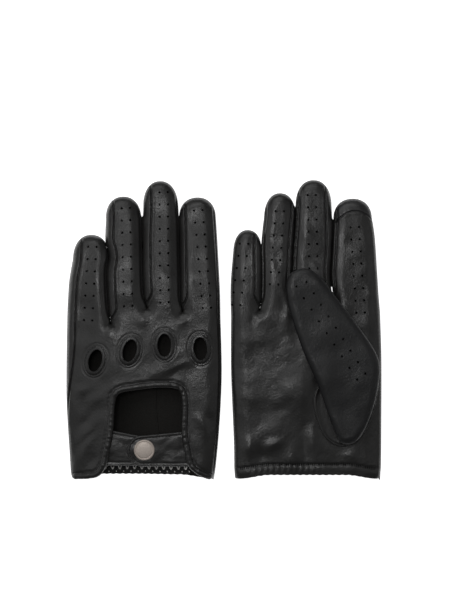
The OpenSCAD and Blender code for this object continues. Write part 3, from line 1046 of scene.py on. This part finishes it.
def add_inner_seam(g, palm):
    """The raised seam on the inside of the palm that shows through the wrist cut-out."""
    line = curve(INNER_SEAM[g], 0.8)
    path = np.column_stack([line, palm.heights(line) - palm.up * (LEATHER_T + 0.15)])
    half = np.full(len(path), 0.55)
    obj = add_tubes(f"{g}_inner_seam", [tube_parts(path, half, half * 0.6, 8)], materials["lining"])
    belongs(obj, f"{g}_hand", "nappa_leather")


def add_elastic(g, palm):
    """The elastic band inside the palm's hem, with its pale zigzag stitching."""
    x0, x1 = -88 + WRIST_SHIFT[g], -25 + WRIST_SHIFT[g]
    x = np.arange(x0, x1 + 0.01, 0.6)
    top_y, low_y = -98.0, -103.6
    scallop = low_y - 0.55 * np.abs(np.sin((x - x0) * math.pi / ZIGZAG))
    top_edge = np.column_stack([x, np.full(len(x), top_y)])
    border = np.concatenate([top_edge, np.column_stack([x, scallop])[::-1]])
    inner = -palm.up * (LEATHER_T + 0.05)
    size = -palm.up * 0.75

    def face(p, depth, far):
        rib = 0.12 * np.abs(np.sin(p[:, 0] * math.pi / ZIGZAG * 2))
        half = size * (0.5 + 0.5 * rounded(depth, 0.6) * (1 if far else -1))
        return palm.heights(p) + inner + half + (rib * -palm.up if far else 0)

    upper, lower = (True, False) if palm.up < 0 else (False, True)
    obj = add_pad(f"{g}_elastic_band", border, lambda p: palm.heights(p) + inner + size / 2,
                  lambda p, d: face(p, d, upper), lambda p, d: face(p, d, lower), 1.1,
                  [materials["elastic"]])
    belongs(obj, f"{g}_hand", "elastic", f"{g}_wrist_elastic")
    dashes = []
    for middle in np.arange(x0 + 2, x1 - 1, ZIGZAG):
        dashes.append([(middle - 1.15, top_y - 0.5), (middle, top_y - 3.1)])
        dashes.append([(middle, top_y - 3.1), (middle + 1.15, top_y - 0.5)])
        dashes.append([(middle + ZIGZAG / 2, top_y - 3.9), (middle + ZIGZAG / 2, top_y - 4.9)])
    parts = []
    for dash in dashes:
        dash = even(np.array(dash, float), 0.7)
        dash = np.column_stack([dash, palm.heights(dash) - palm.up * (LEATHER_T + 0.95)])
        dash[[0, -1], 2] += palm.up * 0.3
        radius = np.full(len(dash), 0.46)
        radius[[0, -1]] = 0.26
        parts.append(tube_parts(dash, radius, radius * 0.8, 6))
    thread = add_tubes(f"{g}_elastic_zigzag", parts, materials["pale_thread"])
    belongs(thread, f"{g}_hand", "thread")


def strap_border(left, right, low, high, round_left, rise=2.2):
    """A strap's outline, round or straight on the left; its top edge rises towards its sewn end."""
    middle, half = (low + high) / 2, (high - low) / 2
    if round_left:
        a = np.radians(np.linspace(-90, -270, 37))
        loop = [(right, high + rise), (right, low)]
        loop += list(zip(left + half * (1 + np.cos(a)), middle + half * np.sin(a)))
    else:
        loop = [(right, high), (right, low), (left, low), (left, high + rise)]
    return even(loop_of(np.array(loop, float)), 0.8, closed=True)


def strap_surface(z0, side, seed):
    """Heights of a strap with turned edges: the side away from the wrist is domed and grooved."""
    def far(p, depth):
        groove = 0.35 * ridge(depth, 0.9, 0.5) - 0.55 * ridge(depth, 1.85, 0.4)
        wave = 0.55 * ripple(p, 9, seed) + 0.2 * ripple(p, 4, seed + 2)
        return z0 + side * (0.5 * STRAP_T * rounded(depth, 1.1) + groove + wave * smooth_step(depth / 3))

    def near(p, depth):
        return z0 - side * 0.5 * STRAP_T * rounded(depth, 1.1)

    return (far, near) if side > 0 else (near, far)


def middle_height(name):
    """The height of the middle of a solid's box."""
    low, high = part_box(name)
    return (low[2] + high[2]) / 2 / MM


def add_straps(g, back):
    """The two leather tabs across the wrist and the press stud that joins them."""
    shift = WRIST_SHIFT[g]
    side = back.up
    tab_z, strap_z = middle_height(f"{g}_strap_tab"), middle_height(f"{g}_strap")
    snap = (SNAP_AT[0] + shift, SNAP_AT[1])

    border = strap_border(-87.5 + shift, -47.5 + shift, -97.2, -78.2, False, 7.5)
    top, bottom = strap_surface(tab_z, side, 2.0)
    tab = add_pad(f"{g}_tab_leather", border, tab_z, top, bottom, 1.2, [materials["nappa_leather"]])
    belongs(tab, f"{g}_hand", "nappa_leather", f"{g}_strap_tab")

    border = strap_border(-69.4 + shift, -24 + shift, -97.6, -75.4, True, 3.2)
    top, bottom = strap_surface(strap_z, side, 9.0)
    strap = add_pad(f"{g}_strap_leather", border, strap_z, top, bottom, 1.1, [materials["nappa_leather"]])
    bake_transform(strap)
    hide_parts(f"{g}_strap")

    loop = strap_border(-67.7 + shift, -25 + shift, -95.9, -77.3, True)
    loop = loop[loop[:, 0] < -37 + shift]
    path = np.column_stack([loop, np.full(len(loop), strap_z + side * 0.42)])
    threads = stitch_parts(path, 1.5, 0.8, 0.22)
    thread = add_tubes(f"{g}_strap_stitches", threads, materials["thread"])
    belongs(thread, f"{g}_strap", "thread")
    add_snap(g, snap, side)


def add_snap(g, snap, side):
    """The press stud: its pewter cap above the strap, the socket under it, and the stud below."""
    low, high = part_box(f"{g}_snap_cap")
    base, face = (low[2] / MM, high[2] / MM) if side > 0 else (high[2] / MM, low[2] / MM)
    r = (high[0] - low[0]) / 2 / MM
    rim = [(1.2, -0.1), (0.3, 0.0), (0, 0.45), (0.1, 0.9), (0.45, 1.2), (1.0, 1.3),
           (1.25, 1.22), (1.45, 1.02), (1.7, 1.16), (2.2, 1.24)]
    dome = [(2.2, 1.34), (0.3, 1.36)]

    def level(up):
        above_table = 0.02 + 0.1 * (1.4 - up)
        return max(base + (face - base) * up, above_table)

    profile = [(r - inset, level(up)) for inset, up in rim] + [(radius, level(up)) for radius, up in dome]
    made = add_lathe(f"{g}_cap_turned", snap, profile, materials["pewter"], 96)
    for name in ("snap_socket", "snap_stud", "snap_post"):
        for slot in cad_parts[f"{g}_{name}"].material_slots:
            slot.material = materials["pewter"]
    belongs(made, f"{g}_strap", "snap_metal", f"{g}_snap_cap")


def add_thumb(g):
    """The folded thumb: a closed leaf of leather with seams along both edges and its own perforations."""
    middle = 15.0 if g == RIGHT else 3.25
    shift = THUMB_SHIFT[g]
    face = 1 if g == RIGHT else -1
    border = clockwise(curve(THUMB[g], 0.9, closed=True))
    dots = []
    for k in range(9):
        u = k / 8
        dots.append((58.8 + u * 42.1 + shift, 34.4 - u * 65.6))
        dots.append((51.7 + u * 43.3 + shift, 31.1 - u * 66.6))
    loops = [hole(dot) for dot in dots] if g == RIGHT else []

    def far(p, depth):
        full = 2.85 * rounded(depth, 5)
        seam = 0.65 * ridge(depth, 0.55, 0.45) - 0.5 * ridge(depth, 1.45, 0.4)
        wave = 0.6 * ripple(p, 24, 71.0) + 0.22 * ripple(p, 10, 75.0)
        flatter = 1 if face > 0 else 0.15
        return middle + face * (full + (seam + wave * smooth_step(depth / 5)) * flatter)

    def near(p, depth):
        return middle - face * 2.7 * rounded(depth, 5)

    top, bottom = (far, near) if g == RIGHT else (near, far)
    # The thumb's outside takes the darker leather copy, whose darker colour is painted shade
    obj = add_pad(f"{g}_thumb_leaf", border, middle, top, bottom, 1.25,
                  [materials["thumb_leather_painted_shade"], materials["lining"]], loops, LEATHER_T)
    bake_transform(obj)
    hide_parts(f"{g}_thumb")


def add_gusset(g):
    """The narrow leaf of leather that joins the thumb's root to the palm."""
    middle = middle_height(f"{g}_thumb_gusset")
    face = 1 if g == RIGHT else -1
    border = clockwise(curve(GUSSET[g], 0.9, closed=True))

    def far(p, depth):
        lip = 0.75 * ridge(depth, 0.7, 0.6)
        return middle + face * (0.55 * rounded(depth, 1.0) + lip - 0.8 * smooth_step(depth / 3))

    def near(p, depth):
        return middle - face * 0.6 * rounded(depth, 1.0)

    top, bottom = (far, near) if g == RIGHT else (near, far)
    obj = add_pad(f"{g}_gusset_leaf", border, middle, top, bottom, 1.5, [materials["nappa_leather"]])
    belongs(obj, f"{g}_hand", "nappa_leather", f"{g}_thumb_gusset")


gloves = {g: add_glove(g) for g in (LEFT, RIGHT)}
for g, sides in gloves.items():
    add_facings(g, sides["back"])
    add_binding(g, sides["back"])
    add_seam_threads(g, sides["back"], sides["palm"])
    add_inner_seam(g, sides["palm"])
    add_elastic(g, sides["palm"])
    add_straps(g, sides["back"])
    add_thumb(g)
    add_gusset(g)


# ---------------------------------------------------------------- camera, floor and lights

CAMERA_AT = (0.00065, 0.0214, 1.208)


def add_light(name, at, size, power):
    """A softbox that points at the middle of the gloves."""
    light = bpy.data.lights.new(name, "AREA")
    light.shape = "RECTANGLE"
    light.size, light.size_y = size
    light.energy = power
    obj = bpy.data.objects.new(name, light)
    obj.location = at
    obj.rotation_euler = (-Vector(at)).to_track_quat("-Z", "Y").to_euler()
    bpy.context.scene.collection.objects.link(obj)


def add_camera():
    camera = bpy.data.cameras.new("camera")
    camera.lens = 100
    camera.sensor_width = 36
    obj = bpy.data.objects.new("camera", camera)
    obj.location = CAMERA_AT
    bpy.context.scene.collection.objects.link(obj)
    bpy.context.scene.camera = obj


def add_floor():
    half, below = 40000.0, -0.05
    corners = [(x * half, y * half, below) for x, y in ((-1, -1), (1, -1), (1, 1), (-1, 1))]
    return add_mesh("floor", corners, [(0, 1, 2, 3)], [floor_material()], smooth=False)


def floor_material():
    material, _, shader = new_material("white paper", Roughness=0.9, Specular_IOR_Level=0.1)
    shader.inputs["Base Color"].default_value = (0.9, 0.9, 0.9, 1)
    shader.inputs["Emission Color"].default_value = (1, 1, 1, 1)
    shader.inputs["Emission Strength"].default_value = 1.0
    return material


def set_world():
    world = bpy.data.worlds.new("studio")
    world.use_nodes = True
    background = world.node_tree.nodes["Background"]
    background.inputs["Color"].default_value = (1, 1, 1, 1)
    background.inputs["Strength"].default_value = 0.085
    bpy.context.scene.world = world


add_camera()
floor = add_floor()
set_world()
add_light("overhead softbox", (-0.17, 0.2, 1.3), (0.24, 0.3), 2.4)
add_light("left softbox", (-1.1, 0.1, 1.1), (0.8, 1.4), 2.6)
add_light("right softbox", (1.1, 0.1, 1.1), (0.8, 1.4), 1.4)
add_light("top softbox", (-0.3, 1.1, 1.2), (1.4, 0.9), 6.0)
bpy.context.scene.view_settings.view_transform = "Standard"
